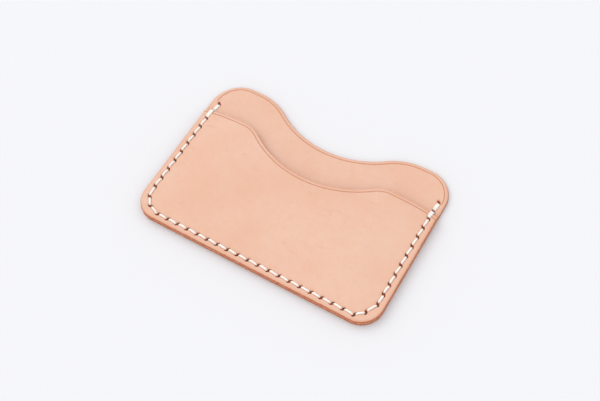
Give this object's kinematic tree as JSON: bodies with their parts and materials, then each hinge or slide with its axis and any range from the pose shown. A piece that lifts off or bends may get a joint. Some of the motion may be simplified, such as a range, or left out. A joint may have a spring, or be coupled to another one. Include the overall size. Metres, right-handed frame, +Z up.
{
  "type": "card holder",
  "caption": "Flat card holder of two natural leather panels, glued and saddle stitched on three sides, with a wavy open top.",
  "frame": {"origin": "middle of the outline's bounding box, on the plane that the holder rests on", "axes": "+X along the width, +Y towards the open end of the pocket, +Z up, towards the pocket side"},
  "size_m": [0.093, 0.0632, 0.004],
  "materials": {
    "leather": "satin",
    "thread": "satin",
    "glue": "matte"
  },
  "bodies": {
    "root": {"back_panel": "leather", "front_pocket": "leather", "pocket_margin": "leather", "glue_line": "glue", "thread": "thread"}
  },
  "joints": []
}
